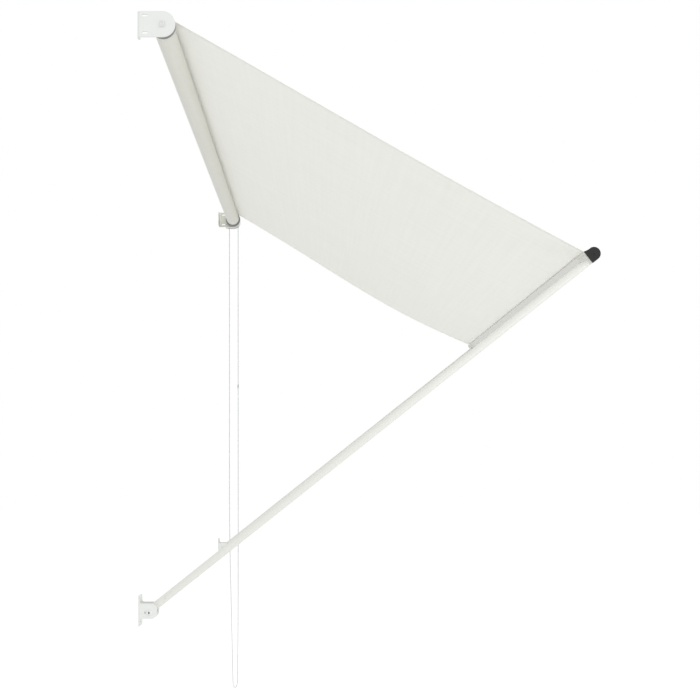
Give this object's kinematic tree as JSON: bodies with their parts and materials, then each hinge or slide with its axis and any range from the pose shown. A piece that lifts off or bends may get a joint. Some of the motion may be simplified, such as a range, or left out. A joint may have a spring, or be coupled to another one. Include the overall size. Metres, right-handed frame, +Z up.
{
  "type": "canvas awning",
  "caption": "Drop-arm window awning: a cloth roller on wall brackets, worked by a bead chain, and a hinged frame of arms and a front bar that holds the cloth out.",
  "frame": {"origin": "on the wall face of the idle end's upper bracket, level with the roller's axis", "axes": "+X along the roller from the idle end to the chain end, +Y into the wall, +Z up; the awning reaches out along -Y"},
  "size_m": [1.5385, 1.2435, 2.2987],
  "materials": {
    "frame_coat": "white powder coat, satin",
    "frame_metal_coat": "white powder coat, satin",
    "cloth": "cream PU-coated polyester weave, matt",
    "chain_plastic": "white, smooth moulded",
    "white_plastic": "white, fine moulded texture",
    "grey_plastic": "light grey, moulded",
    "black_plastic": "black, matt moulded",
    "spring_steel": "bare spring steel",
    "galvanised": "galvanised, matt grey",
    "zinc": "zinc plated"
  },
  "bodies": {
    "root": {"canopy_cloth": "cloth", "chain_connector": "chain_plastic", "chain_loop": "chain_plastic", "chain_on_wheel": "chain_plastic", "clutch_core": "white_plastic", "clutch_housing": "white_plastic", "drive_foot_bracket": "frame_metal_coat", "drive_pivot_bolt": "frame_metal_coat", "drive_pivot_nut": "frame_metal_coat", "drive_wall_bracket": "galvanised", "housing_screw_high": "zinc", "housing_screw_low": "zinc", "idle_boss": "white_plastic", "idle_foot_bracket": "frame_metal_coat", "idle_pin": "frame_metal_coat", "idle_pivot_bolt": "frame_metal_coat", "idle_pivot_nut": "frame_metal_coat", "idle_wall_bracket": "frame_metal_coat"},
    "roller": {"roller_tube": "frame_coat", "roller_spline": "white_plastic", "wound_cloth": "cloth", "idle_plug": "grey_plastic", "drive_plug": "grey_plastic", "chain_wheel": "white_plastic", "brake_spring": "spring_steel"},
    "arm_frame": {"front_bar": "frame_coat", "bar_spline": "white_plastic", "drive_arm": "frame_coat", "drive_arm_foot": "frame_coat", "drive_arm_head": "frame_coat", "drive_cap_screw": "black_plastic", "drive_end_cap": "black_plastic", "drive_foot_rivet_1": "frame_coat", "drive_foot_rivet_2": "frame_coat", "drive_head_screw": "zinc", "drive_pivot_bush": "grey_plastic", "drive_pivot_washer": "zinc", "idle_arm": "frame_coat", "idle_arm_foot": "frame_coat", "idle_arm_head": "frame_coat", "idle_cap_screw": "black_plastic", "idle_end_cap": "black_plastic", "idle_foot_rivet_1": "frame_coat", "idle_foot_rivet_2": "frame_coat", "idle_head_screw": "zinc", "idle_pivot_bush": "grey_plastic", "idle_pivot_washer": "zinc"}
  },
  "joints": [
    {"name": "arm_swing", "type": "hinge", "parent": "root", "child": "arm_frame", "pos_m": [0, -0.03, -1.578], "axis": [-1, 0, 0], "range_deg": [0, 46.5], "deforming": ["canopy_cloth"]},
    {"name": "roller_turn", "type": "hinge", "parent": "root", "child": "roller", "pos_m": [0, -0.068, 0], "axis": [-1, 0, 0], "range_deg": [0, 2400]}
  ],
  "couplings": [
    {"joint": "roller_turn", "follows": "arm_swing", "ratio": 51}
  ]
}
